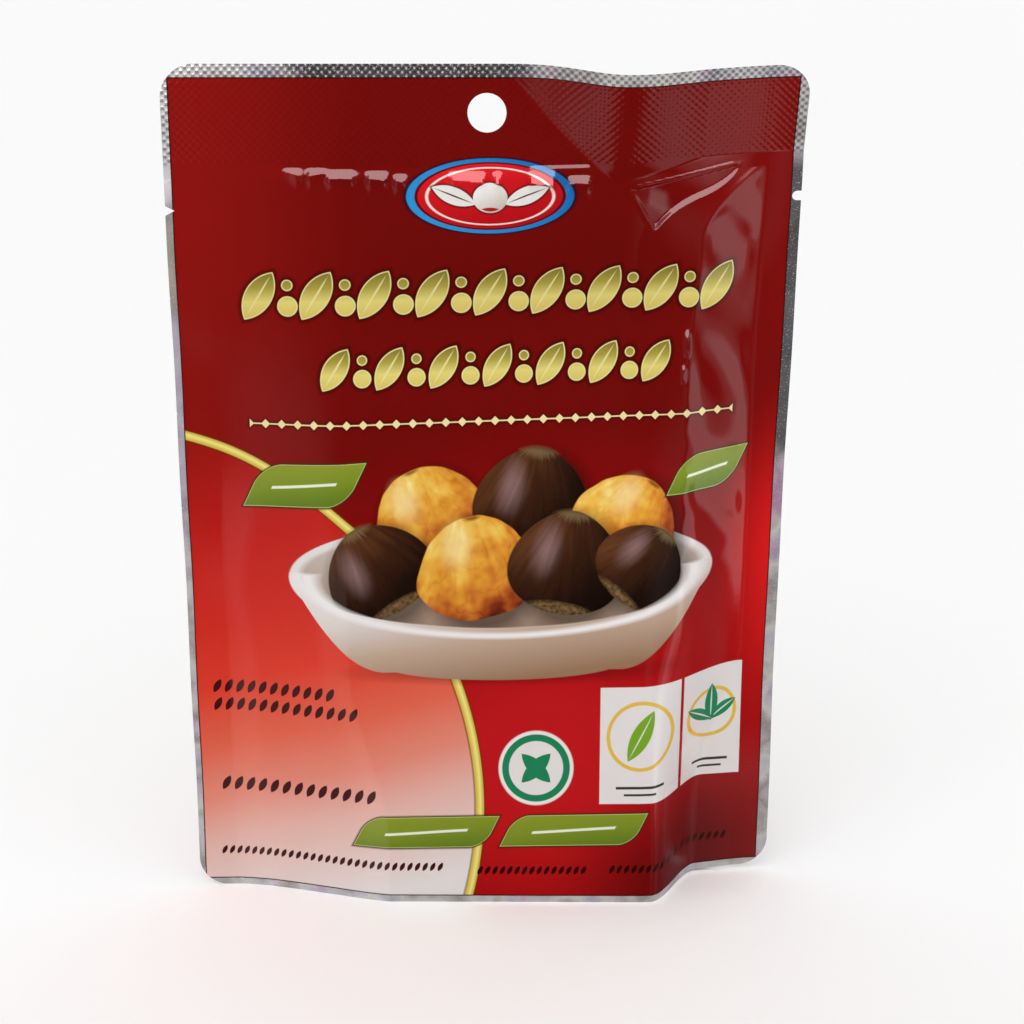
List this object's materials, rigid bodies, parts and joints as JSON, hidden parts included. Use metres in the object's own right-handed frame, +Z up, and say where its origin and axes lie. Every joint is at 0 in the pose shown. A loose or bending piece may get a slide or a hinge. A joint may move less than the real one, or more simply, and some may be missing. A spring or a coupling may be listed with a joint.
{
  "type": "stand-up pouch of roasted chestnuts",
  "caption": "Filled and sealed stand-up pouch of roasted chestnuts in glossy foil film, with a hang hole, tear notches and an arched gusset foot.",
  "frame": {"origin": "middle of the footprint's box, on the surface that the pouch stands on", "axes": "+Z up along the height, -Y out of the front panel, +X to the right as the front is seen"},
  "size_m": [0.1306, 0.0274, 0.18],
  "materials": {
    "film": "glossy printed laminate, dark red to orange",
    "foil": "satin bare foil"
  },
  "bodies": {
    "root": {"pouch": "film"}
  },
  "joints": []
}
